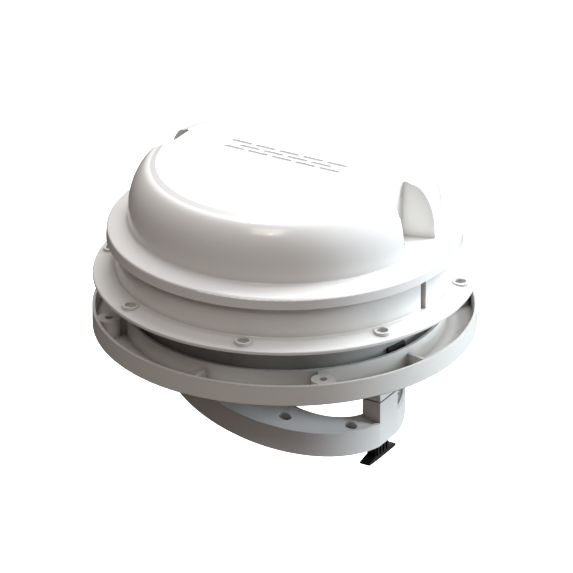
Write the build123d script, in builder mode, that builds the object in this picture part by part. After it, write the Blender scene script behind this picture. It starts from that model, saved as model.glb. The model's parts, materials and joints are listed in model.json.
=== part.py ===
# Round roof vent cover for a caravan: dome, roof flange, fan, duct sleeve, ceiling ring and
# a sloped hinged frame with a quarter-turn latch.
# Millimetres. +Z is up, +X is the latch side, and the origin is the centre of the flange
# underside, where it meets the roof.

import os
from math import cos, radians, sin, sqrt

from build123d import *

os.makedirs("parts", exist_ok=True)

# Driving sizes
wall = 2.2
gap = 0.3

# Roof flange and collar
flange_radius = 110.0
flange_edge = 2.0
flange_crown = 4.6
flange_floor = 4.0
collar_radius = 97.4
collar_wall = 2.0
collar_top = 25.0
bore_radius = 83.0
upstand_top = 10.0
slit_angle = 7.2
slit_width = 3.0
leg_radius = 98.6
leg_half_width = 10.7
leg_top = 27.5
arm_half_width = 9.0
arm_bottom = 25.0
arm_top = 29.0
arm_inner = 69.5

# Roof screw holes: raised rings with a counterbore
screw_count = 8
screw_first_angle = 17.5
screw_circle = 102.4
screw_ring_radius = 4.9
screw_ring_top = 4.6
screw_seat = 2.7
screw_seat_radius = 3.3
screw_hole_radius = 2.0

# Dome
brim_radius = 102.0
brim_bottom = 24.0
brim_edge_radius = 101.5
brim_edge_height = 30.3
brim_round = 1.5
hump_radius = 89.8
hump_foot = 33.9
plateau_radius = 73.4
plateau_height = 67.9
step_radius = 76.5
step_height = 66.4
hump_side = ((88.6, 48.0), (85.3, 58.0), (81.2, 64.0))
pocket_floor = 34.5
pocket_inner = 70.5
pocket_half_width = 11.5
pocket_mouth = 84.0
pocket_mouth_half = 16.0
pocket_flare = (pocket_mouth_half - pocket_half_width) / (pocket_mouth - pocket_inner)
pocket_screw = 75.0
cup_radius = 5.2
cup_hole_radius = 3.0
cup_seat = 30.5
cup_clearance = 1.7
dome_screw_radius = 1.5
dome_screw_head_radius = 2.7
dome_screw_head = 1.9

# Cross recess shared by all screw heads
cross_length = 3.2
cross_width = 0.8

# Duct sleeve and ceiling ring
sleeve_radius = 85.0
sleeve_wall = 2.0
sleeve_bottom = -34.0
ceiling_radius = 110.6
ceiling_bottom = -31.5
ceiling_floor = -30.0
ceiling_lip_top = -19.0
ceiling_inner_outer = 93.0
ceiling_inner_wall = 1.8
ceiling_inner_top = -18.0
ceiling_boss_circle = 102.5
ceiling_boss_angle = -47.5
ceiling_boss_radius = 6.8
ceiling_boss_top = -19.2
ceiling_hole_radius = 2.3
ceiling_chamfer = 0.8
ceiling_web = 2.0
ceiling_rib_height = 9.5
ceiling_rib_angles = (-11, -88, 169, 92)

# Lower ring inside the sleeve
ring_inner = 56.0
ring_bottom = sleeve_bottom
ring_thickness = 3.0
ring_skirt = 8.0
ring_skirt_wall = 2.0

# Sloped frame: a vertical-walled round slab between two parallel tilted planes
frame_radius = 69.8
frame_face = 69.0
frame_low = -90.2
frame_low_at = 68.8
frame_slope = 0.2925
frame_height = 13.5
frame_rim = 1.1
opening_radius = 34.7
opening_centre = 23.0
latch_inner = 57.5
latch_half_width = 10.2
latch_seam = -63.0
latch_gap = 1.0

# Hinge of the frame
hinge_x = -68.0
hinge_z = -38.0
hinge_barrel = 3.2
hinge_pin_radius = 1.25
hinge_running = 0.07
knuckle_half = 6.0
lug_end = 12.0
lug_foot = 9.0
lug_foot_height = 1.6
pin_head_radius = 2.2
pin_head = 1.0
notch_margin = 0.6

# Latch knob
knob_x = 62.0
stem_radius = 1.8
stem_running = 0.08
knob_top = -90.8
knob_neck_bottom = -99.6
knob_bottom = -102.1
knob_neck_half = 7.5
knob_neck_thick = 5.4
hook_length = 4.4
hook_half_width = 1.4

# Fan
impeller_radius = 76.0
impeller_centre = 13.0
blade_count = 6
blade_pitch = 28.0
blade_thickness = 1.8
hub_radius = 14.0
hub_bottom = 7.0
hub_top = 19.0
blade_root_half = 9.0
blade_tip_low = -15.0
blade_tip_high = 13.0
blade_back = (40.0, 15.0)
nut_radius = 3.6
nut_height = 3.0
shaft_radius = 1.6
shaft_running = 0.08
spider_bottom = 31.0
spider_top = 34.0
motor_radius = 17.5
motor_top = 57.0

frame_tilt_length = sqrt(1 + frame_slope**2)
normal_x = frame_slope / frame_tilt_length
normal_z = 1 / frame_tilt_length


def tilted_height(x, lift):
    """Height of the frame underside at x, raised vertically by lift."""
    return frame_low + frame_slope * (frame_low_at - x) + lift


def tilted_plane(x, y, lift, downwards=False):
    """Plane lying on the frame underside raised by lift, with its origin at x, y."""
    sign = -1 if downwards else 1
    return Plane(
        origin=(x, y, tilted_height(x, lift)),
        x_dir=(normal_z, 0, -normal_x),
        z_dir=(sign * normal_x, 0, sign * normal_z),
    )


def tower_plane(x, y, depth):
    """Plane facing down a screw axis that leaves the frame top square at x, y."""
    return Plane(
        origin=(x - depth * normal_x, y, tilted_height(x, frame_height) - depth * normal_z),
        x_dir=(normal_z, 0, -normal_x),
        z_dir=(-normal_x, 0, -normal_z),
    )


def tilted_slab(radius, face, low, high):
    """Round vertical-walled slab, flat at the latch face, between two tilted planes."""
    with BuildPart() as slab:
        with BuildSketch(Plane.XY.offset(-120)):
            Circle(radius)
            with Locations((face + radius, 0)):
                Rectangle(2 * radius, 4 * radius, mode=Mode.SUBTRACT)
        extrude(amount=110)
        split(bisect_by=tilted_plane(0, 0, low), keep=Keep.TOP)
        split(bisect_by=tilted_plane(0, 0, high), keep=Keep.BOTTOM)
    return slab.part


def latch_column(inset, low, high):
    """Column of the latch block plan, shrunk by inset, between two levels."""
    with BuildPart() as column:
        with BuildSketch(Plane.XY.offset(low)):
            Circle(frame_radius - inset)
            with Locations((latch_inner + inset - frame_radius, 0)):
                Rectangle(2 * frame_radius, 4 * frame_radius, mode=Mode.SUBTRACT)
            with Locations((frame_face - inset + frame_radius, 0)):
                Rectangle(2 * frame_radius, 4 * frame_radius, mode=Mode.SUBTRACT)
            Rectangle(
                4 * frame_radius, 2 * (latch_half_width - inset), mode=Mode.INTERSECT
            )
        extrude(amount=high - low)
    return column.part


def dome_form(inset, bottom):
    """Solid dome outline shrunk by inset, with both screw pockets already taken out."""
    with BuildPart() as form:
        with BuildSketch(Plane.XZ) as section:
            with BuildLine():
                Polyline(
                    (0, bottom),
                    (brim_radius - inset, bottom),
                    (brim_edge_radius - inset, brim_edge_height - inset),
                    (hump_radius - inset, hump_foot - inset),
                )
                Spline(
                    (hump_radius - inset, hump_foot - inset),
                    *[(radius - inset, height - inset) for radius, height in hump_side],
                    (step_radius - inset, step_height - inset),
                    tangents=((-0.04, 1), (-1, 0.12)),
                )
                Polyline(
                    (step_radius - inset, step_height - inset),
                    (plateau_radius - inset, plateau_height - inset),
                    (0, plateau_height - inset),
                    (0, bottom),
                )
            make_face()
            brim_corner = (brim_edge_radius - inset, brim_edge_height - inset)
            foot_corner = (hump_radius - inset, hump_foot - inset)
            fillet(section.vertices().sort_by_distance(brim_corner)[0], brim_round)
            fillet(section.vertices().sort_by_distance(foot_corner)[0], brim_round)
        revolve(axis=Axis.Z)
        with BuildSketch(Plane.XY.offset(pocket_floor - inset)) as pocket:
            start = pocket_inner - inset
            end = brim_radius + 2
            start_half = pocket_half_width + inset
            end_half = start_half + (end - start) * pocket_flare
            with BuildLine():
                Polyline(
                    (start, -start_half),
                    (end, -end_half),
                    (end, end_half),
                    (start, start_half),
                    close=True,
                )
            make_face()
            fillet(pocket.vertices().sort_by(Axis.X)[:2], brim_round + inset)
            mirror(about=Plane.YZ)
        extrude(amount=plateau_height, mode=Mode.SUBTRACT)
    return form.part


dome_outer = dome_form(0, brim_bottom)
dome_cavity = dome_form(wall, brim_bottom - 4)

# Dome cover with its two screw cups and a sunk motif of plain bars on top
motif_centre = (-4.5, 8.0)
motif_pitch = 15.6
motif_bar_length = 13.0
motif_bar_width = 2.2
motif_row_pitch = 4.4
motif_depth = 0.9
motif_fill = 0.6

with BuildSketch() as motif:
    with Locations(motif_centre):
        with GridLocations(motif_pitch, 2 * motif_row_pitch, 5, 2):
            SlotOverall(motif_bar_length, motif_bar_width)
        with GridLocations(motif_pitch, motif_row_pitch, 4, 1):
            SlotOverall(motif_bar_length, motif_bar_width)

with BuildPart() as dome_cover:
    add(dome_outer)
    add(dome_cavity, mode=Mode.SUBTRACT)
    with Locations((pocket_screw, 0, arm_top), (-pocket_screw, 0, arm_top)):
        Cylinder(
            cup_radius,
            pocket_floor - wall / 2 - arm_top,
            align=(Align.CENTER, Align.CENTER, Align.MIN),
        )
    with Locations((pocket_screw, 0, cup_seat), (-pocket_screw, 0, cup_seat)):
        Cylinder(
            cup_hole_radius,
            2 * wall + pocket_floor,
            align=(Align.CENTER, Align.CENTER, Align.MIN),
            mode=Mode.SUBTRACT,
        )
    with Locations((pocket_screw, 0, arm_top), (-pocket_screw, 0, arm_top)):
        Cylinder(cup_clearance, 2 * wall, mode=Mode.SUBTRACT)
    with BuildSketch(Plane.XY.offset(plateau_height - motif_depth)):
        add(motif.sketch)
    extrude(amount=2 * motif_depth, mode=Mode.SUBTRACT)
dome_cover.part.label = "dome_cover"
export_step(dome_cover.part, "parts/dome_cover.step")

with BuildPart() as dome_motif:
    with BuildSketch(Plane.XY.offset(plateau_height - motif_depth)):
        add(motif.sketch)
    extrude(amount=motif_fill)
dome_motif.part.label = "dome_motif"
export_step(dome_motif.part, "parts/dome_motif.step")

# Two short pan-head screws, sunk in the cups, that hold the dome on the base arms
with BuildPart() as dome_screws:
    with Locations((pocket_screw, 0, cup_seat), (-pocket_screw, 0, cup_seat)):
        Cylinder(
            dome_screw_head_radius,
            dome_screw_head,
            align=(Align.CENTER, Align.CENTER, Align.MIN),
        )
    fillet(dome_screws.edges().group_by(Axis.Z)[-1], dome_screw_head / 2.4)
    with Locations((pocket_screw, 0, cup_seat), (-pocket_screw, 0, cup_seat)):
        Cylinder(
            dome_screw_radius,
            cup_seat - arm_bottom,
            align=(Align.CENTER, Align.CENTER, Align.MAX),
        )
    head_top = cup_seat + dome_screw_head
    with Locations((pocket_screw, 0, head_top), (-pocket_screw, 0, head_top)):
        Box(cross_length, cross_width, dome_screw_head, mode=Mode.SUBTRACT)
        Box(cross_width, cross_length, dome_screw_head, mode=Mode.SUBTRACT)
dome_screws.part.label = "dome_screws"
export_step(dome_screws.part, "parts/dome_screws.step")

# Base: roof flange, collar, upstand round the bore and the two cantilever dome arms
gasket_inner = 88.5
gasket_outer = 94.5
gasket_depth = 1.2
slit_depth = 8.0
arm_root = collar_radius - 3.0
gusset_root = 95.0
gusset_low = 8.0
gusset_tip = 80.0
gusset_half = 1.5

with BuildPart() as base_flange:
    with BuildSketch(Plane.XZ) as base_section:
        with BuildLine():
            Polyline(
                (bore_radius, 0),
                (flange_radius, 0),
                (flange_radius, flange_edge),
                (collar_radius, flange_crown),
                (collar_radius, collar_top),
                (collar_radius - collar_wall, collar_top),
                (collar_radius - collar_wall, flange_floor),
                (bore_radius + collar_wall, flange_floor),
                (bore_radius + collar_wall, upstand_top),
                (bore_radius, upstand_top),
                close=True,
            )
        make_face()
        rim_corner = (flange_radius, flange_edge)
        root_corner = (collar_radius, flange_crown)
        fillet(base_section.vertices().sort_by_distance(rim_corner)[0], 1.0)
        fillet(base_section.vertices().sort_by_distance(root_corner)[0], 0.8)
    revolve(axis=Axis.Z)
    # Slits either side of each leg
    for side in (0, 180):
        with Locations(Rotation(0, 0, side - slit_angle), Rotation(0, 0, side + slit_angle)):
            with Locations((collar_radius, 0, flange_crown)):
                Box(
                    slit_depth,
                    slit_width,
                    2 * collar_top,
                    align=(Align.CENTER, Align.CENTER, Align.MIN),
                    mode=Mode.SUBTRACT,
                )
    # Legs, arms and gussets that carry the dome
    with BuildSketch(Plane.XY.offset(flange_floor)):
        Circle(leg_radius)
        Circle(collar_radius - collar_wall - 1, mode=Mode.SUBTRACT)
        Rectangle(3 * leg_radius, 2 * leg_half_width, mode=Mode.INTERSECT)
    extrude(amount=leg_top - flange_floor)
    with BuildSketch(Plane.XY.offset(arm_bottom)):
        for side in (-1, 1):
            with Locations((side * (arm_inner + arm_root) / 2, 0)):
                RectangleRounded(arm_root - arm_inner, 2 * arm_half_width, brim_round)
    extrude(amount=arm_top - arm_bottom)
    with BuildSketch(Plane.XZ) as gusset:
        with BuildLine():
            Polyline(
                (gusset_root, gusset_low),
                (gusset_root, arm_bottom + 1),
                (gusset_tip, arm_bottom + 1),
                (gusset_tip, arm_bottom),
                close=True,
            )
        make_face()
        mirror(about=Plane.YZ)
    extrude(amount=gusset_half, both=True)
    # Raised, counterbored rings for the roof screws
    with PolarLocations(screw_circle, screw_count, start_angle=screw_first_angle):
        Cylinder(
            screw_ring_radius, screw_ring_top, align=(Align.CENTER, Align.CENTER, Align.MIN)
        )
    with Locations((0, 0, screw_seat)):
        with PolarLocations(screw_circle, screw_count, start_angle=screw_first_angle):
            Cylinder(
                screw_seat_radius,
                screw_ring_top,
                align=(Align.CENTER, Align.CENTER, Align.MIN),
                mode=Mode.SUBTRACT,
            )
    with PolarLocations(screw_circle, screw_count, start_angle=screw_first_angle):
        Cylinder(screw_hole_radius, 3 * screw_seat, mode=Mode.SUBTRACT)
    # Dome screw bores and the gasket groove
    with Locations((pocket_screw, 0, arm_top), (-pocket_screw, 0, arm_top)):
        Cylinder(dome_screw_radius, 3 * (arm_top - arm_bottom), mode=Mode.SUBTRACT)
    with BuildSketch():
        Circle(gasket_outer)
        Circle(gasket_inner, mode=Mode.SUBTRACT)
    extrude(amount=gasket_depth, mode=Mode.SUBTRACT)
base_flange.part.label = "base_flange"
export_step(base_flange.part, "parts/base_flange.step")

with BuildPart() as flange_gasket:
    with BuildSketch():
        Circle(gasket_outer)
        Circle(gasket_inner, mode=Mode.SUBTRACT)
    extrude(amount=gasket_depth)
flange_gasket.part.label = "flange_gasket"
export_step(flange_gasket.part, "parts/flange_gasket.step")

# Duct sleeve that drops through the roof, with a spigot in the bore and snap tabs outside
grommet_angle = -12.5
grommet_z = -22.0
grommet_width = 11.0
grommet_height = 4.6
grommet_lip = 1.6
grommet_overlap = 1.5
cable_slot_width = 6.0
cable_slot_height = 1.6
shoulder_low = -4.0
shoulder_high = -2.0
tab_angles = (-94, -80)
tab_length = 3.2
tab_width = 5.0
tab_height = 8.0
tab_bottom = -13.0

with BuildPart() as duct_sleeve:
    with BuildSketch(Plane.XZ):
        with BuildLine():
            Polyline(
                (sleeve_radius - sleeve_wall, sleeve_bottom),
                (sleeve_radius, sleeve_bottom),
                (sleeve_radius, 0),
                (bore_radius, 0),
                (bore_radius, upstand_top),
                (bore_radius - sleeve_wall, upstand_top),
                (bore_radius - sleeve_wall, shoulder_high),
                (sleeve_radius - sleeve_wall, shoulder_low),
                close=True,
            )
        make_face()
    revolve(axis=Axis.Z)
    for start in tab_angles:
        with Locations((0, 0, tab_bottom)):
            with PolarLocations(sleeve_radius, 4, start_angle=start):
                Box(
                    tab_length,
                    tab_width,
                    tab_height,
                    align=(Align.CENTER, Align.CENTER, Align.MIN),
                )
    with Locations(Location((0, 0, grommet_z), (0, 0, grommet_angle))):
        with Locations((sleeve_radius, 0, 0)):
            Box(4 * sleeve_wall, grommet_width, grommet_height, mode=Mode.SUBTRACT)
duct_sleeve.part.label = "duct_sleeve"
export_step(duct_sleeve.part, "parts/duct_sleeve.step")

# Rubber wire inlet in the sleeve wall
with BuildPart() as wire_grommet:
    with BuildSketch(Plane.XY.offset(grommet_z - grommet_height / 2 - grommet_overlap)):
        Circle(sleeve_radius + grommet_lip)
        Circle(sleeve_radius, mode=Mode.SUBTRACT)
        with Locations(Rotation(0, 0, grommet_angle)):
            with Locations((sleeve_radius, 0)):
                Rectangle(
                    4 * cable_slot_width, grommet_width + 2 * grommet_overlap, mode=Mode.INTERSECT
                )
    extrude(amount=grommet_height + 2 * grommet_overlap)
    with BuildSketch(Plane.XY.offset(grommet_z - grommet_height / 2)):
        Circle(sleeve_radius + 1)
        Circle(sleeve_radius - sleeve_wall, mode=Mode.SUBTRACT)
        with Locations(Rotation(0, 0, grommet_angle)):
            with Locations((sleeve_radius, 0)):
                Rectangle(4 * cable_slot_width, grommet_width, mode=Mode.INTERSECT)
    extrude(amount=grommet_height)
    with Locations(Location((0, 0, grommet_z), (0, 0, grommet_angle))):
        with Locations((sleeve_radius, 0, 0)):
            Box(4 * sleeve_wall + 4, cable_slot_width, cable_slot_height, mode=Mode.SUBTRACT)
wire_grommet.part.label = "wire_grommet"
export_step(wire_grommet.part, "parts/wire_grommet.step")

# Ceiling ring: an open trough with bosses and ribs
with BuildPart() as ceiling_ring:
    with BuildSketch(Plane.XZ):
        with BuildLine():
            Polyline(
                (sleeve_radius, ceiling_bottom),
                (ceiling_radius - ceiling_chamfer, ceiling_bottom),
                (ceiling_radius, ceiling_bottom + ceiling_chamfer),
                (ceiling_radius, ceiling_lip_top),
                (ceiling_radius - ceiling_inner_wall, ceiling_lip_top),
                (ceiling_radius - ceiling_inner_wall, ceiling_floor),
                (ceiling_inner_outer, ceiling_floor),
                (ceiling_inner_outer, ceiling_inner_top),
                (ceiling_inner_outer - ceiling_inner_wall, ceiling_inner_top),
                (ceiling_inner_outer - ceiling_inner_wall, ceiling_floor),
                (sleeve_radius, ceiling_floor),
                close=True,
            )
        make_face()
    revolve(axis=Axis.Z)
    with Locations((0, 0, ceiling_bottom)):
        with PolarLocations(ceiling_boss_circle, 4, start_angle=ceiling_boss_angle):
            Cylinder(
                ceiling_boss_radius,
                ceiling_boss_top - ceiling_bottom,
                align=(Align.CENTER, Align.CENTER, Align.MIN),
            )
        with PolarLocations(ceiling_inner_outer, 4, start_angle=ceiling_boss_angle):
            Box(
                3 * ceiling_web,
                ceiling_web,
                ceiling_boss_top - ceiling_bottom,
                align=(Align.CENTER, Align.CENTER, Align.MIN),
            )
        rib_length = ceiling_radius - ceiling_inner_outer
        rib_middle = (ceiling_radius + ceiling_inner_outer - ceiling_inner_wall) / 2
        for rib_angle in ceiling_rib_angles:
            with PolarLocations(rib_middle, 1, start_angle=rib_angle):
                Box(
                    rib_length,
                    ceiling_web,
                    ceiling_rib_height,
                    align=(Align.CENTER, Align.CENTER, Align.MIN),
                )
        with PolarLocations(ceiling_boss_circle, 4, start_angle=ceiling_boss_angle):
            Cylinder(ceiling_hole_radius, 40, mode=Mode.SUBTRACT)
ceiling_ring.part.label = "ceiling_ring"
export_step(ceiling_ring.part, "parts/ceiling_ring.step")

# Lower ring snapped inside the sleeve: it carries the latch post, hinge and finger guard
sleeve_inner = sleeve_radius - sleeve_wall

with BuildPart() as lower_ring:
    with BuildSketch(Plane.XZ):
        with BuildLine():
            Polyline(
                (ring_inner, ring_bottom),
                (sleeve_inner, ring_bottom),
                (sleeve_inner, ring_bottom + ring_skirt),
                (sleeve_inner - ring_skirt_wall, ring_bottom + ring_skirt),
                (sleeve_inner - ring_skirt_wall, ring_bottom + ring_thickness),
                (ring_inner, ring_bottom + ring_thickness),
                close=True,
            )
        make_face()
    revolve(axis=Axis.Z)
lower_ring.part.label = "lower_ring"
export_step(lower_ring.part, "parts/lower_ring.step")

guard_bar = 2.0
guard_hub = 16.0
guard_steps = 3
guard_pitch = (ring_inner - guard_hub) / guard_steps
guard_spokes = 8

with BuildPart() as finger_guard:
    with BuildSketch(Plane.XY.offset(ring_bottom)):
        for step in range(guard_steps + 1):
            radius = ring_inner - step * guard_pitch
            Circle(radius)
            Circle(radius - guard_bar, mode=Mode.SUBTRACT)
        with PolarLocations((ring_inner + guard_hub - guard_bar) / 2, guard_spokes):
            Rectangle(ring_inner - guard_hub, guard_bar)
    extrude(amount=ring_thickness)
finger_guard.part.label = "finger_guard"
export_step(finger_guard.part, "parts/finger_guard.step")

# Fixed upper half of the latch post, hollow, with the keyhole the hook turns in
post_bottom = latch_seam + latch_gap
post_wall = 2.0
slot_end = 2.6
slot_clearance = 1.1
post_outer = latch_column(0, post_bottom, ring_bottom)
post_cavity = latch_column(post_wall, post_bottom + post_wall, ring_bottom - post_wall)

with BuildPart() as latch_post:
    add(post_outer)
    add(post_cavity, mode=Mode.SUBTRACT)
    with BuildSketch(Plane.XY.offset(post_bottom)):
        with Locations((knob_x - stem_radius - slot_clearance, slot_end)):
            Rectangle(
                2 * stem_radius + slot_clearance + gap,
                slot_end + hook_length + 2 * gap,
                align=(Align.MIN, Align.MAX),
            )
    extrude(amount=2 * post_wall, mode=Mode.SUBTRACT)
latch_post.part.label = "latch_post"
export_step(latch_post.part, "parts/latch_post.step")

# Fixed hinge lugs under the lower ring
with BuildPart() as hinge_bracket:
    with BuildSketch(Plane.XZ) as lug_section:
        with Locations((hinge_x, hinge_z)):
            Circle(hinge_barrel)
        with Locations((hinge_x, (hinge_z + ring_bottom) / 2)):
            Rectangle(2 * hinge_barrel, ring_bottom - hinge_z)
    extrude(amount=lug_end, both=True)
    with Locations((hinge_x, 0, hinge_z)):
        Box(
            6 * hinge_barrel,
            2 * (knuckle_half + gap),
            6 * hinge_barrel,
            mode=Mode.SUBTRACT,
        )
    with Locations((hinge_x + hinge_barrel, 0, ring_bottom)):
        Box(
            lug_foot,
            2 * lug_end,
            lug_foot_height,
            align=(Align.MIN, Align.CENTER, Align.MAX),
        )
    with Locations(Location((hinge_x, 0, hinge_z), (90, 0, 0))):
        Cylinder(hinge_pin_radius, 4 * lug_end, mode=Mode.SUBTRACT)
hinge_bracket.part.label = "hinge_bracket"
export_step(hinge_bracket.part, "parts/hinge_bracket.step")

with BuildPart() as hinge_pin:
    with Locations(Location((hinge_x, 0, hinge_z), (90, 0, 0))):
        Cylinder(hinge_pin_radius, 2 * lug_end)
    with Locations(Location((hinge_x, -lug_end, hinge_z), (90, 0, 0))):
        Cylinder(pin_head_radius, pin_head, align=(Align.CENTER, Align.CENTER, Align.MIN))
hinge_pin.part.label = "hinge_pin"
export_step(hinge_pin.part, "parts/hinge_pin.step")

# Fan: spider, motor, shaft and impeller
spider_ring_inner = bore_radius - sleeve_wall
spider_leg_inner = spider_ring_inner - 1.5
spider_rim = 2.0
spider_leg_width = 12.0
spider_arm_width = 8.0
spider_margin = 3.0
motor_screw_circle = 8.0
motor_screw_radius = 1.5
motor_screw_length = 8.0
motor_screw_head_radius = 2.8
motor_screw_head = 1.8

with BuildPart() as motor_bracket:
    with BuildSketch(Plane.XY.offset(upstand_top)):
        Circle(bore_radius + collar_wall)
        Circle(spider_leg_inner, mode=Mode.SUBTRACT)
    extrude(amount=spider_rim)
    with BuildSketch(Plane.XY.offset(upstand_top)):
        with PolarLocations((spider_leg_inner + bore_radius) / 2, 3, start_angle=90):
            Rectangle(bore_radius - spider_leg_inner, spider_leg_width)
    extrude(amount=spider_top - upstand_top)
    with BuildSketch(Plane.XY.offset(spider_bottom)):
        Circle(motor_radius + spider_margin)
        with PolarLocations(spider_ring_inner / 2, 3, start_angle=90):
            Rectangle(spider_ring_inner, spider_arm_width)
    extrude(amount=spider_top - spider_bottom)
    Cylinder(shaft_radius + shaft_running, 3 * spider_top, mode=Mode.SUBTRACT)
    with PolarLocations(motor_screw_circle, 2):
        Cylinder(motor_screw_radius, 3 * spider_top, mode=Mode.SUBTRACT)
motor_bracket.part.label = "motor_bracket"
export_step(motor_bracket.part, "parts/motor_bracket.step")

with BuildPart() as motor_can:
    with BuildSketch(Plane.XY.offset(spider_top)):
        Circle(motor_radius)
    extrude(amount=motor_top - spider_top)
    fillet(motor_can.edges().group_by(Axis.Z)[-1], 2)
    with Locations((0, 0, spider_top)):
        Cylinder(shaft_radius + shaft_running, 20, mode=Mode.SUBTRACT)
        with PolarLocations(motor_screw_circle, 2):
            Cylinder(motor_screw_radius, 12, mode=Mode.SUBTRACT)
motor_can.part.label = "motor_can"
export_step(motor_can.part, "parts/motor_can.step")

endcap_radius = 12.0
endcap_height = 3.0
terminal_circle = 7.0
terminal_width = 4.0
terminal_height = 2.0

with BuildPart() as motor_endcap:
    with BuildSketch(Plane.XY.offset(motor_top)):
        Circle(endcap_radius)
    extrude(amount=endcap_height)
    fillet(motor_endcap.edges().group_by(Axis.Z)[-1], endcap_height / 3)
    with BuildSketch(Plane.XY.offset(motor_top + endcap_height)):
        with PolarLocations(terminal_circle, 2, start_angle=90):
            Rectangle(terminal_width / 4, terminal_width)
    extrude(amount=terminal_height)
motor_endcap.part.label = "motor_endcap"
export_step(motor_endcap.part, "parts/motor_endcap.step")

with BuildPart() as motor_screws:
    with Locations((0, 0, spider_bottom)):
        with PolarLocations(motor_screw_circle, 2):
            Cylinder(
                motor_screw_head_radius,
                motor_screw_head,
                align=(Align.CENTER, Align.CENTER, Align.MAX),
            )
            Cylinder(
                motor_screw_radius,
                motor_screw_length,
                align=(Align.CENTER, Align.CENTER, Align.MIN),
            )
    with Locations((0, 0, spider_bottom - motor_screw_head)):
        with PolarLocations(motor_screw_circle, 2):
            Box(cross_length, cross_width, motor_screw_head, mode=Mode.SUBTRACT)
            Box(cross_width, cross_length, motor_screw_head, mode=Mode.SUBTRACT)
motor_screws.part.label = "motor_screws"
export_step(motor_screws.part, "parts/motor_screws.step")

shaft_bottom = 2.0
shaft_top = spider_top + 8.0

with BuildPart() as motor_shaft:
    with BuildSketch(Plane.XY.offset(shaft_bottom)):
        Circle(shaft_radius)
    extrude(amount=shaft_top - shaft_bottom)
motor_shaft.part.label = "motor_shaft"
export_step(motor_shaft.part, "parts/motor_shaft.step")

with BuildPart() as fan_impeller:
    for index in range(blade_count):
        turn = radians(index * 360 / blade_count)
        lean = radians(blade_pitch)
        blade_plane = Plane(
            origin=(0, 0, impeller_centre),
            x_dir=(cos(turn), sin(turn), 0),
            z_dir=(sin(lean) * sin(turn), -sin(lean) * cos(turn), cos(lean)),
        )
        with BuildSketch(blade_plane):
            with BuildLine():
                Polyline(
                    (hub_radius - 4, -blade_root_half),
                    (impeller_radius + 4, blade_tip_low),
                    (impeller_radius + 4, blade_tip_high),
                    blade_back,
                    (hub_radius - 4, blade_root_half),
                    close=True,
                )
            make_face()
        extrude(amount=blade_thickness / 2, both=True)
    Cylinder(impeller_radius, 100, mode=Mode.INTERSECT)
    with Locations((0, 0, hub_bottom)):
        Cylinder(
            hub_radius, hub_top - hub_bottom, align=(Align.CENTER, Align.CENTER, Align.MIN)
        )
    Cylinder(shaft_radius, 100, mode=Mode.SUBTRACT)
fan_impeller.part.label = "fan_impeller"
export_step(fan_impeller.part, "parts/fan_impeller.step")

with BuildPart() as hub_nut:
    with BuildSketch(Plane.XY.offset(hub_bottom)):
        RegularPolygon(nut_radius, 6)
        Circle(shaft_radius, mode=Mode.SUBTRACT)
    extrude(amount=-nut_height)
hub_nut.part.label = "hub_nut"
export_step(hub_nut.part, "parts/hub_nut.step")

# Sloped swing frame: hollow from below, with the lower half of the latch block on it
frame_skin = wall
cover_thickness = 2.0
opening_wall = 2.3
boss_xs = (28.3, 28.3, 57.8, 57.8, -46.0, -46.0)
boss_ys = (-48.0, 48.0, -24.2, 24.2, -32.0, 32.0)
boss_spots = list(zip(boss_xs, boss_ys))
tower_radius = 4.6
tower_recess_radius = 3.7
cover_screw_radius = 1.3
cover_screw_length = 6.0
cover_screw_head_radius = 2.6
cover_screw_head = 1.4
lip_wall = 1.6
frame_thickness = frame_height * normal_z
stem_boss_radius = 4.0
switch_length = 21.0
switch_width = 13.0
switch_x = -40.0
hinge_block_depth = 14.0
hinge_block_width = 2 * lug_end + 6.0

frame_slab = tilted_slab(frame_radius, frame_face, 0, frame_height)
frame_lip = tilted_slab(frame_radius, frame_face, frame_height, frame_height + frame_rim)
frame_core = tilted_slab(
    frame_radius - frame_skin, frame_face - frame_skin, -1, frame_height - frame_skin
)
frame_block = latch_column(0, -80, latch_seam)
block_core = latch_column(post_wall, -90, latch_seam - post_wall)

with BuildPart() as lip_core:
    with BuildSketch(Plane.XY.offset(-100)):
        Circle(frame_radius - lip_wall)
    extrude(amount=80)

with BuildPart() as opening_column:
    with BuildSketch(Plane.XY.offset(-100)):
        with Locations((opening_centre, 0)):
            Circle(opening_radius + opening_wall)
    extrude(amount=80)

with BuildPart() as frame_hollow:
    add(frame_core)
    add(block_core)
    add(opening_column.part, mode=Mode.SUBTRACT)
    with Locations((knob_x, 0, -80)):
        Cylinder(stem_boss_radius, 60, mode=Mode.SUBTRACT)
    # Hinge end stays solid behind the notch
    with Locations((hinge_x, 0, -45)):
        Box(hinge_block_depth, hinge_block_width, 40, mode=Mode.SUBTRACT)

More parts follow.
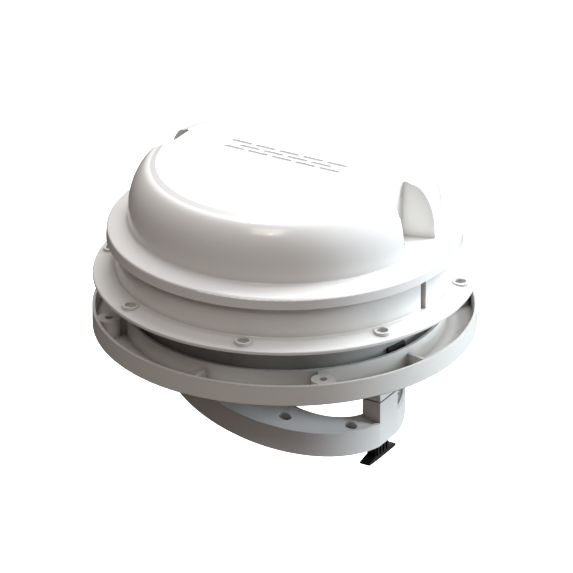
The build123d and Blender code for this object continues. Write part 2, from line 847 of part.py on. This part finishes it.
with BuildPart() as swing_frame:
    add(frame_slab)
    add(frame_lip)
    add(lip_core.part.intersect(frame_lip), mode=Mode.SUBTRACT)
    add(frame_block)
    add(frame_hollow.part, mode=Mode.SUBTRACT)
    # Screw towers for the underside cover, recessed from above at the latch side
    for x, y in boss_spots:
        with BuildSketch(tower_plane(x, y, 0.5)):
            Circle(tower_radius)
        extrude(amount=(frame_height - cover_thickness) * normal_z - 0.5)
    for x, y in boss_spots[:4]:
        with BuildSketch(tower_plane(x, y, -1)):
            Circle(tower_recess_radius)
        extrude(amount=5, mode=Mode.SUBTRACT)
    for x, y in boss_spots:
        with BuildSketch(tower_plane(x, y, frame_thickness - cover_screw_length)):
            Circle(cover_screw_radius)
        extrude(amount=cover_screw_length, mode=Mode.SUBTRACT)
    # Round opening
    with BuildSketch(Plane.XY.offset(-100)):
        with Locations((opening_centre, 0)):
            Circle(opening_radius)
    extrude(amount=80, mode=Mode.SUBTRACT)
    # Notch, barrel and web of the hinge knuckle
    with Locations((hinge_x, 0, hinge_z)):
        Box(
            2 * (hinge_barrel + notch_margin),
            2 * (lug_end + pin_head + notch_margin) + 0.2,
            2 * (hinge_barrel + notch_margin),
            mode=Mode.SUBTRACT,
        )
    with BuildSketch(Plane.XZ):
        with Locations((hinge_x, hinge_z)):
            Circle(hinge_barrel)
        with Locations((hinge_x + 1.6, hinge_z - 3)):
            Rectangle(6.2, 6)
    extrude(amount=knuckle_half, both=True)
    with Locations(Location((hinge_x, 0, hinge_z), (90, 0, 0))):
        Cylinder(hinge_pin_radius + hinge_running, 40, mode=Mode.SUBTRACT)
    # Flat boss and bore for the latch stem
    with Locations((knob_x, 0, -80)):
        Cylinder(stem_radius + stem_running, 60, mode=Mode.SUBTRACT)
swing_frame.part.label = "swing_frame"
export_step(swing_frame.part, "parts/swing_frame.step")

# Underside cover that closes the hollow frame
cover_plate = tilted_slab(
    frame_radius - frame_skin, frame_face - frame_skin, 0, cover_thickness
)

with BuildPart() as frame_cover:
    add(cover_plate)
    add(opening_column.part, mode=Mode.SUBTRACT)
    with Locations((knob_x, 0, -80)):
        Cylinder(stem_boss_radius, 60, mode=Mode.SUBTRACT)
    with Locations((hinge_x, 0, -45)):
        Box(hinge_block_depth, hinge_block_width, 40, mode=Mode.SUBTRACT)
    for x, y in boss_spots:
        with BuildSketch(tower_plane(x, y, frame_thickness)):
            Circle(cover_screw_radius)
        extrude(amount=4, both=True, mode=Mode.SUBTRACT)
    with BuildSketch(tilted_plane(switch_x, 0, 0)):
        Rectangle(switch_length, switch_width)
    extrude(amount=4, both=True, mode=Mode.SUBTRACT)
frame_cover.part.label = "frame_cover"
export_step(frame_cover.part, "parts/frame_cover.step")

# Cover screws, driven up into the towers
with BuildPart() as cover_screws:
    for x, y in boss_spots:
        with BuildSketch(tower_plane(x, y, frame_thickness)):
            Circle(cover_screw_head_radius)
        extrude(amount=cover_screw_head)
        with BuildSketch(tower_plane(x, y, frame_thickness - cover_screw_length)):
            Circle(cover_screw_radius)
        extrude(amount=cover_screw_length)
        with BuildSketch(tower_plane(x, y, frame_thickness + 0.4)):
            Rectangle(cross_length, cross_width)
            Rectangle(cross_width, cross_length)
        extrude(amount=2, mode=Mode.SUBTRACT)
cover_screws.part.label = "cover_screws"
export_step(cover_screws.part, "parts/cover_screws.step")

# Two-speed rocker switch on the underside
rocker_pivot_radius = 0.9
rocker_running = 0.07
rocker_pivot_half = 5.7
rocker_half_width = 4.6
rocker_half_length = 7.6
rocker_back = 1.2
rocker_tip = -3.0
rocker_dip = -1.6
bezel_margin = 2.0
bezel_depth = 1.2
switch_depth = 8.0
switch_hole_length = 17.0
switch_hole_width = 10.0

with BuildPart() as switch_body:
    with BuildSketch(tilted_plane(switch_x, 0, 0, downwards=True)):
        RectangleRounded(
            switch_length + 2 * bezel_margin, switch_width + 2 * bezel_margin, bezel_margin
        )
    extrude(amount=bezel_depth)
    with BuildSketch(tilted_plane(switch_x, 0, 0)):
        Rectangle(switch_length, switch_width)
    extrude(amount=switch_depth)
    with BuildSketch(tilted_plane(switch_x, 0, 0)):
        Rectangle(switch_hole_length, switch_hole_width)
    extrude(amount=switch_depth / 2, both=True, mode=Mode.SUBTRACT)
    with BuildSketch(Plane.XZ):
        with Locations((switch_x, tilted_height(switch_x, 0))):
            Circle(rocker_pivot_radius + rocker_running)
    extrude(amount=rocker_pivot_half + gap, both=True, mode=Mode.SUBTRACT)
switch_body.part.label = "switch_body"
export_step(switch_body.part, "parts/switch_body.step")

rocker_plane = Plane(
    origin=tilted_plane(switch_x, 0, 0).origin, x_dir=(normal_z, 0, -normal_x), z_dir=(0, -1, 0)
)

with BuildPart() as switch_rocker:
    with BuildSketch(rocker_plane):
        with BuildLine():
            Polyline(
                (-rocker_half_length, rocker_back),
                (rocker_half_length, rocker_back),
                (rocker_half_length, rocker_tip),
                (0, rocker_dip),
                (-rocker_half_length, rocker_tip),
                close=True,
            )
        make_face()
    extrude(amount=rocker_half_width, both=True)
    with BuildSketch(Plane.XZ):
        with Locations((switch_x, tilted_height(switch_x, 0))):
            Circle(rocker_pivot_radius)
    extrude(amount=rocker_pivot_half, both=True)
switch_rocker.part.label = "switch_rocker"
export_step(switch_rocker.part, "parts/switch_rocker.step")

# Quarter-turn latch: T knob, then the stem with its hook
hook_bottom = post_bottom + post_wall + 0.4
hook_height = 2.5
plate_half = 15.5
plate_half_thick = 3.2
plate_end_top = knob_neck_bottom - 0.9
plate_root = knob_neck_bottom + 0.8
plate_draft = 0.3
knob_socket = 2.0
grip_pitch = 3.6
grip_depth = 1.2
grip_width = 1.4

with BuildPart() as turn_knob:
    with Locations((knob_x, 0, knob_top)):
        Box(
            knob_neck_thick,
            2 * knob_neck_half,
            knob_top - knob_neck_bottom,
            align=(Align.CENTER, Align.CENTER, Align.MAX),
        )
    with BuildSketch(Plane.YZ.offset(knob_x)):
        with BuildLine():
            left_corner = (plate_draft - plate_half, knob_bottom + plate_draft)
            right_corner = (plate_half - plate_draft, knob_bottom + plate_draft)
            Line((-plate_half, plate_end_top), left_corner)
            ThreePointArc(left_corner, (0, knob_bottom), right_corner)
            Line(right_corner, (plate_half, plate_end_top))
            Polyline(
                (plate_half, plate_end_top),
                (knob_neck_half, plate_root),
                (-knob_neck_half, plate_root),
                (-plate_half, plate_end_top),
            )
        make_face()
    extrude(amount=plate_half_thick, both=True)
    # Finger ribs on the neck
    with Locations((knob_x, 0, knob_neck_bottom)):
        with GridLocations(knob_neck_thick + grip_depth / 2, grip_pitch, 2, 4):
            Box(
                grip_depth,
                grip_width,
                knob_top - knob_neck_bottom,
                align=(Align.CENTER, Align.CENTER, Align.MIN),
            )
    with Locations((knob_x, 0, knob_top)):
        Cylinder(stem_radius, 2 * knob_socket, mode=Mode.SUBTRACT)
turn_knob.part.label = "turn_knob"
export_step(turn_knob.part, "parts/turn_knob.step")

with BuildPart() as latch_stem:
    with BuildSketch(Plane.XY.offset(knob_top - knob_socket)):
        with Locations((knob_x, 0)):
            Circle(stem_radius)
    extrude(amount=hook_bottom + hook_height - knob_top + knob_socket)
    with Locations((knob_x, 0, hook_bottom)):
        Box(
            2 * hook_half_width,
            hook_length,
            hook_height,
            align=(Align.CENTER, Align.MAX, Align.MIN),
        )
latch_stem.part.label = "latch_stem"
export_step(latch_stem.part, "parts/latch_stem.step")
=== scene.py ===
"""Looks for a round caravan roof vent cover: materials, fine details, studio light and camera."""

import json
import math

import bpy
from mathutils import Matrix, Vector


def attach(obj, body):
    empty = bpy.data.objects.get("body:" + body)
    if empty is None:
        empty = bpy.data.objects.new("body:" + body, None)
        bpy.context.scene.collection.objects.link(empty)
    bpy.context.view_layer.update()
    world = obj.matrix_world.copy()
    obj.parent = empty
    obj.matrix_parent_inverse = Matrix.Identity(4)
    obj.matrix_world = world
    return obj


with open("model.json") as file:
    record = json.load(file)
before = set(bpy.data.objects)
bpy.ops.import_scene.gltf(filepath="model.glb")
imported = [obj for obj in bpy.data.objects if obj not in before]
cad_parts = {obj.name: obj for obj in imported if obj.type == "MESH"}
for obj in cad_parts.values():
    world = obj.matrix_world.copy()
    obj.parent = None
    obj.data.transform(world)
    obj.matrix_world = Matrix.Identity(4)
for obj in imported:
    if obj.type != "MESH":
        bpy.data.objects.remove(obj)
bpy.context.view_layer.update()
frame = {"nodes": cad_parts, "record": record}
nodes = frame["nodes"]

mm = 0.001

# Camera, as fitted to the rings of the object
camera_azimuth = math.radians(30.5)
camera_elevation = math.radians(25.4)
camera_distance = 2.956
camera_lens = 324.6
camera_sensor = 36
target_right = 0.89 * mm
target_down = 8.93 * mm

# Studio
floor_level = -0.6
floor_size = 30
world_strength = 0.55
light_target = Vector((0, 0, 10 * mm))

# Scales of the noise in the materials, in waves per metre
cloud_scale = 22
gloss_scale = 75
grain_scale = 1400
patch_scale = 90
line_scale = 500
dust_scale = 140

# Reach of the painted shade in the corners, and depths of the surface relief
crevice_reach = 5 * mm
grain_depth = 0.15 * mm
line_depth = 0.05 * mm
pore_depth = 0.3 * mm

view_right = Vector((math.cos(camera_azimuth), math.sin(camera_azimuth), 0))
view_back = Vector((-math.sin(camera_azimuth), math.cos(camera_azimuth), 0))
world_up = Vector((0, 0, 1))


# ---------------------------------------------------------------- materials


def new_material(name):
    """An empty node material with its Principled shader joined to the output."""
    material = bpy.data.materials.new(name)
    material.use_nodes = True
    tree = material.node_tree
    tree.nodes.clear()
    output = tree.nodes.new("ShaderNodeOutputMaterial")
    shader = tree.nodes.new("ShaderNodeBsdfPrincipled")
    tree.links.new(shader.outputs["BSDF"], output.inputs["Surface"])
    return material, tree, shader


def noise(tree, scale, detail, stretch=(1, 1, 1)):
    """Noise in object space; stretch scales the three axes."""
    coordinates = tree.nodes.new("ShaderNodeTexCoord")
    mapping = tree.nodes.new("ShaderNodeMapping")
    mapping.inputs["Scale"].default_value = stretch
    texture = tree.nodes.new("ShaderNodeTexNoise")
    texture.inputs["Scale"].default_value = scale
    texture.inputs["Detail"].default_value = detail
    tree.links.new(coordinates.outputs["Object"], mapping.inputs["Vector"])
    tree.links.new(mapping.outputs["Vector"], texture.inputs["Vector"])
    return texture.outputs["Fac"]


def spread(tree, value, low, high):
    """Stretches a noise value, which sits near one half, to run from low to high."""
    node = tree.nodes.new("ShaderNodeMapRange")
    node.inputs["From Min"].default_value = 0.3
    node.inputs["From Max"].default_value = 0.7
    node.inputs["To Min"].default_value = low
    node.inputs["To Max"].default_value = high
    tree.links.new(value, node.inputs["Value"])
    return node.outputs["Result"]


def blend_colors(tree, factor, first, second):
    """Mix of two colours; each is a colour or a socket."""
    mix = tree.nodes.new("ShaderNodeMix")
    mix.data_type = "RGBA"
    sockets = [s for s in mix.inputs if s.type == "RGBA"]
    for socket, value in zip(sockets, (first, second)):
        if isinstance(value, tuple):
            socket.default_value = (*value, 1)
        else:
            tree.links.new(value, socket)
    tree.links.new(factor, mix.inputs["Factor"])
    return [s for s in mix.outputs if s.type == "RGBA"][0]


def bump(tree, shader, height, strength, distance):
    """Surface relief from a height value."""
    node = tree.nodes.new("ShaderNodeBump")
    node.inputs["Strength"].default_value = strength
    node.inputs["Distance"].default_value = distance
    tree.links.new(height, node.inputs["Height"])
    tree.links.new(node.outputs["Normal"], shader.inputs["Normal"])


def crevices(tree, distance):
    """One in open places, falling towards zero in tight corners."""
    node = tree.nodes.new("ShaderNodeAmbientOcclusion")
    node.samples = 8
    node.inputs["Distance"].default_value = distance
    return node.outputs["AO"]


def tinted(color, factor):
    """The colour scaled by factor."""
    return tuple(channel * factor for channel in color)


def plastic(name, color, roughness, grain, coat=0.0, corner_shade=(0.32, 0.29, 0.26)):
    """Moulded plastic: slight cloudiness, fine grain, uneven gloss and painted shade darkening the
    corners.
    """
    material, tree, shader = new_material(name)
    cloud = spread(tree, noise(tree, cloud_scale, 3), 0, 1)
    body = blend_colors(tree, cloud, tinted(color, 0.985), color)
    # Painted shade: ambient occlusion blends tight corners towards a darker copy of the colour
    corner = crevices(tree, crevice_reach)
    shaded_copy = tuple(channel * share for channel, share in zip(color, corner_shade))
    colored = blend_colors(tree, corner, shaded_copy, body)
    tree.links.new(colored, shader.inputs["Base Color"])
    gloss = spread(tree, noise(tree, gloss_scale, 4), roughness * 0.92, roughness * 1.1)
    tree.links.new(gloss, shader.inputs["Roughness"])
    shader.inputs["Coat Weight"].default_value = coat
    shader.inputs["Coat Roughness"].default_value = 0.08
    shader.inputs["IOR"].default_value = 1.5
    bump(tree, shader, noise(tree, grain_scale, 2), grain, grain_depth)
    return material


def metal(name, color, roughness, stretch, scratch=0.25):
    """Worked metal with fine lines along one axis and dull patches."""
    material, tree, shader = new_material(name)
    patch = spread(tree, noise(tree, patch_scale, 3), 0, 1)
    colored = blend_colors(tree, patch, tinted(color, 0.8), color)
    tree.links.new(colored, shader.inputs["Base Color"])
    lines = noise(tree, line_scale, 3, stretch)
    gloss = spread(tree, lines, roughness * 0.7, roughness * 1.4)
    tree.links.new(gloss, shader.inputs["Roughness"])
    shader.inputs["Metallic"].default_value = 1.0
    bump(tree, shader, lines, scratch, line_depth)
    return material


def rubber(name, color, pore):
    """Soft rubber with open pores."""
    material, tree, shader = new_material(name)
    dust = spread(tree, noise(tree, dust_scale, 4), 0, 1)
    colored = blend_colors(tree, dust, color, tinted(color, 1.9))
    tree.links.new(colored, shader.inputs["Base Color"])
    tree.links.new(spread(tree, noise(tree, 60, 2), 0.6, 0.85), shader.inputs["Roughness"])
    bump(tree, shader, noise(tree, pore, 3), 0.5, pore_depth)
    return material


white = (0.80, 0.785, 0.765)
materials = {
    "shell_white": plastic("shell_white", white, 0.2, 0.02, coat=0.35, corner_shade=(0.6, 0.57, 0.54)),
    "motif_grey": plastic("motif_grey", (0.4, 0.4, 0.4), 0.45, 0.1),
    "screw_dark": metal("screw_dark", (0.07, 0.065, 0.06), 0.4, (1, 6, 1)),
    "base_white": plastic("base_white", (0.79, 0.775, 0.75), 0.24, 0.03, coat=0.25),
    "gasket_rubber": rubber("gasket_rubber", (0.02, 0.02, 0.02), 900),
    "duct_grey": plastic("duct_grey", (0.42, 0.42, 0.405), 0.42, 0.12),
    "grommet_rubber": rubber("grommet_rubber", (0.012, 0.012, 0.012), 1600),
    "ceiling_white": plastic("ceiling_white", (0.74, 0.72, 0.69), 0.32, 0.06, coat=0.1),
    "ring_white": plastic("ring_white", (0.72, 0.7, 0.68), 0.35, 0.08),
    "guard_black": plastic("guard_black", (0.018, 0.018, 0.018), 0.4, 0.2),
    "post_white": plastic("post_white", (0.74, 0.73, 0.71), 0.3, 0.05, coat=0.1),
    "pin_steel": metal("pin_steel", (0.6, 0.6, 0.59), 0.25, (1, 1, 12)),
    "bracket_black": plastic("bracket_black", (0.02, 0.02, 0.02), 0.42, 0.2),
    "motor_steel": metal("motor_steel", (0.5, 0.5, 0.52), 0.3, (1, 1, 10)),
    "endcap_black": plastic("endcap_black", (0.025, 0.025, 0.025), 0.4, 0.2),
    "screw_steel": metal("screw_steel", (0.62, 0.61, 0.56), 0.3, (4, 4, 1)),
    "impeller_black": plastic("impeller_black", (0.022, 0.022, 0.023), 0.36, 0.15),
    "nut_brass": metal("nut_brass", (0.75, 0.52, 0.22), 0.28, (6, 1, 1)),
    "frame_white": plastic("frame_white", (0.72, 0.7, 0.68), 0.3, 0.05, coat=0.1),
    "cover_white": plastic("cover_white", (0.7, 0.685, 0.665), 0.38, 0.3),
    "switch_black": plastic("switch_black", (0.018, 0.018, 0.018), 0.35, 0.2),
    "rocker_black": plastic("rocker_black", (0.012, 0.012, 0.012), 0.18, 0.05, coat=0.4),
    "knob_black": plastic("knob_black", (0.006, 0.006, 0.006), 0.33, 0.12),
}

slot_of_node = {entry["node"]: entry["material_slot"] for entry in frame["record"]["subparts"]}
for node_name, node in nodes.items():
    for material_slot in node.material_slots:
        material_slot.material = materials[slot_of_node[node_name]]


# ---------------------------------------------------------------- fine details


def add_mesh(name, vertices, faces, body, slot):
    """A new piece from vertices in millimetres, riding on a CAD body, in a record slot's finish."""
    mesh = bpy.data.meshes.new(name)
    mesh.from_pydata([tuple(c * mm for c in v) for v in vertices], [], faces)
    mesh.update()
    piece = bpy.data.objects.new(name, mesh)
    bpy.context.scene.collection.objects.link(piece)
    mesh.materials.append(materials[slot])
    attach(piece, body)
    return piece


def lathe(profile, angles):
    """Vertices and faces of a closed profile turned about Z through the given angles."""
    vertices = []
    faces = []
    count = len(profile)
    for angle in angles:
        for radius, height in profile:
            vertices.append((radius * math.cos(angle), radius * math.sin(angle), height))
    for ring in range(len(angles)):
        after = (ring + 1) % len(angles)
        for point in range(count):
            side = (point + 1) % count
            here = ring * count
            there = after * count
            faces.append((here + point, here + side, there + side, there + point))
    return vertices, faces


def bar(vertices, faces, start, end, thickness):
    """Adds a square bar between two points of one level to the lists."""
    along = (Vector(end) - Vector(start)).normalized()
    across = Vector((-along.y, along.x, 0)) * thickness / 2
    lift = Vector((0, 0, thickness / 2))
    first = len(vertices)
    for point in (Vector(start), Vector(end)):
        for corner in (across + lift, across - lift, -across - lift, -across + lift):
            vertices.append(tuple(point + corner))
    for side in range(4):
        after = (side + 1) % 4
        faces.append((first + side, first + after, first + 4 + after, first + 4 + side))
    faces.append(tuple(first + side for side in (3, 2, 1, 0)))
    faces.append(tuple(first + 4 + side for side in (0, 1, 2, 3)))


def insect_screen():
    """Woven wire screen resting on the finger guard, inside the lower ring."""
    radius = 55.5
    pitch = 2.6
    wire = 0.32
    level = -30.6
    vertices = []
    faces = []
    steps = int(radius / pitch)
    for index in range(-steps, steps + 1):
        offset = index * pitch
        half = math.sqrt(radius**2 - offset**2)
        bar(vertices, faces, (-half, offset, level), (half, offset, level), wire)
        bar(vertices, faces, (offset, -half, level + wire), (offset, half, level + wire), wire)
    return add_mesh("insect_screen", vertices, faces, "vent_body", "pin_steel")


def turned_ring(name, profile, body, slot, segments=128):
    """A ring turned about Z, with smooth shading."""
    angles = [2 * math.pi * step / segments for step in range(segments)]
    vertices, faces = lathe(profile, angles)
    piece = add_mesh(name, vertices, faces, body, slot)
    for polygon in piece.data.polygons:
        polygon.use_smooth = True
    return piece


def dots(name, places, radius, height, body, slot):
    """Low round marks with a bevelled rim, such as those that ejector pins leave."""
    vertices = []
    faces = []
    sides = 20
    bevel = 0.86
    for x, y, z in places:
        first = len(vertices)
        for ring_radius, level in ((radius, z), (radius * bevel, z + height)):
            for step in range(sides):
                angle = 2 * math.pi * step / sides
                vertices.append(
                    (x + ring_radius * math.cos(angle), y + ring_radius * math.sin(angle), level)
                )
        for step in range(sides):
            after = (step + 1) % sides
            faces.append((first + step, first + after, first + sides + after, first + sides + step))
        faces.append(tuple(first + sides + step for step in range(sides)))
    return add_mesh(name, vertices, faces, body, slot)


def around(radius, angles, level):
    """Points on a circle at the given angles in degrees."""
    return [
        (radius * math.cos(math.radians(a)), radius * math.sin(math.radians(a)), level)
        for a in angles
    ]


def bead(radius, bottom, top, stand_out, taper):
    """Profile of a low bead round a cylinder, narrower at its crest by taper at each side."""
    crest = radius + stand_out
    return (radius, bottom), (crest, bottom + taper), (crest, top - taper), (radius, top)


# Sizes in millimetres, in the frame of the object
hem_inner = 54.2
hem_width = 1.6
hem_bottom = -30.9
hem_top = -30.0
motor_radius = 17.5
trough_floor = -30.0
trough_mark_circle = 101.5
trough_mark_angles = (-70, -112, -25, -155, 20, 65, 110, 155)
flange_floor = 4.0
flange_mark_circle = 89.5
flange_mark_angles = range(5, 360, 30)

insect_screen()
turned_ring(
    "screen_hem", bead(hem_inner, hem_bottom, hem_top, hem_width, 0), "vent_body", "pin_steel"
)
turned_ring(
    "motor_crimp", bead(motor_radius, 37.0, 39.0, 0.4, 0.3), "vent_body", "motor_steel", 64
)
turned_ring(
    "motor_seam", bead(motor_radius, 50.0, 51.2, 0.3, 0.2), "vent_body", "motor_steel", 64
)
trough_marks = around(trough_mark_circle, trough_mark_angles, trough_floor)
dots("trough_pin_marks", trough_marks, 2.2, 0.18, "vent_body", "ceiling_white")
flange_marks = around(flange_mark_circle, flange_mark_angles, flange_floor)
dots("flange_pin_marks", flange_marks, 2.0, 0.15, "vent_body", "base_white")

# ---------------------------------------------------------------- floor, light and camera


def floor_material():
    """Pale studio floor, bright enough to stay white."""
    material, tree, shader = new_material("studio_floor")
    shade = blend_colors(tree, noise(tree, 3, 2), (0.97, 0.97, 0.97), (1.0, 1.0, 1.0))
    tree.links.new(shade, shader.inputs["Base Color"])
    tree.links.new(shade, shader.inputs["Emission Color"])
    shader.inputs["Emission Strength"].default_value = 1.0
    shader.inputs["Roughness"].default_value = 0.9
    return material


bpy.ops.mesh.primitive_plane_add(size=floor_size, location=(0, 0, floor_level))
floor = bpy.context.object
floor.name = "studio_floor"
floor.data.materials.append(floor_material())
floor.visible_diffuse = False
floor.visible_glossy = False


def world_light():
    """A studio dome: dark and warm from below, pale in front, cool and bright above right."""
    world = bpy.data.worlds.new("studio")
    bpy.context.scene.world = world
    world.use_nodes = True
    tree = world.node_tree
    tree.nodes.clear()
    output = tree.nodes.new("ShaderNodeOutputWorld")
    background = tree.nodes.new("ShaderNodeBackground")
    coordinates = tree.nodes.new("ShaderNodeTexCoord")
    facing = tree.nodes.new("ShaderNodeVectorMath")
    facing.operation = "DOT_PRODUCT"
    bright = (view_right * 0.5 + view_back * 0.1 + world_up * 0.85).normalized()
    facing.inputs[1].default_value = bright
    place = tree.nodes.new("ShaderNodeMapRange")
    place.inputs["From Min"].default_value = -1
    place.inputs["From Max"].default_value = 1
    ramp = tree.nodes.new("ShaderNodeValToRGB")
    stops = (
        (0.0, (0.11, 0.085, 0.075)),
        (0.35, (0.2, 0.16, 0.14)),
        (0.52, (0.4, 0.35, 0.32)),
        (0.72, (0.74, 0.75, 0.77)),
        (1.0, (1.0, 1.08, 1.18)),
    )
    while len(ramp.color_ramp.elements) < len(stops):
        ramp.color_ramp.elements.new(0.5)
    for element, (position, color) in zip(ramp.color_ramp.elements, stops):
        element.position = position
        element.color = (*color, 1)
    background.inputs["Strength"].default_value = world_strength
    tree.links.new(coordinates.outputs["Generated"], facing.inputs[0])
    tree.links.new(facing.outputs["Value"], place.inputs["Value"])
    tree.links.new(place.outputs["Result"], ramp.inputs["Fac"])
    tree.links.new(ramp.outputs["Color"], background.inputs["Color"])
    tree.links.new(background.outputs["Background"], output.inputs["Surface"])


def softbox(name, right, back, up, size, power, color):
    """A square area light aimed at the object, placed in metres along the camera's directions."""
    place = view_right * right + view_back * back + world_up * up
    data = bpy.data.lights.new(name, "AREA")
    data.size = size
    data.energy = power
    data.color = color
    lamp = bpy.data.objects.new(name, data)
    lamp.location = place
    lamp.rotation_euler = (light_target - place).to_track_quat("-Z", "Y").to_euler()
    bpy.context.scene.collection.objects.link(lamp)


world_light()
softbox("key", 1.2, 0.5, 1.1, 0.7, 24, (0.9, 0.96, 1.0))
softbox("top", 0.2, 0.6, 1.5, 1.0, 20, (0.99, 0.99, 1.0))
softbox("side", 1.6, 0.2, 0.25, 0.5, 25, (0.8, 0.92, 1.0))
softbox("fill", -0.3, -1.1, 1.4, 0.6, 5.5, (1.0, 0.9, 0.8))
softbox("glint", -0.3, -1.5, 1.5, 0.14, 1.0, (1.0, 0.98, 0.95))

# The camera looks at a point a little right of and below the flange centre
view_up = Vector(
    (
        -math.sin(camera_elevation) * math.sin(camera_azimuth),
        math.sin(camera_elevation) * math.cos(camera_azimuth),
        math.cos(camera_elevation),
    )
)
to_camera = view_up.cross(view_right) * -1
target = view_right * target_right - view_up * target_down
camera_data = bpy.data.cameras.new("camera")
camera_data.sensor_width = camera_sensor
camera_data.lens = camera_lens
camera_data.clip_end = 50
camera = bpy.data.objects.new("camera", camera_data)
camera.location = target + to_camera * camera_distance
camera.rotation_euler = (-to_camera).to_track_quat("-Z", "Y").to_euler()
bpy.context.scene.collection.objects.link(camera)
bpy.context.scene.camera = camera
bpy.context.scene.view_settings.view_transform = "Standard"
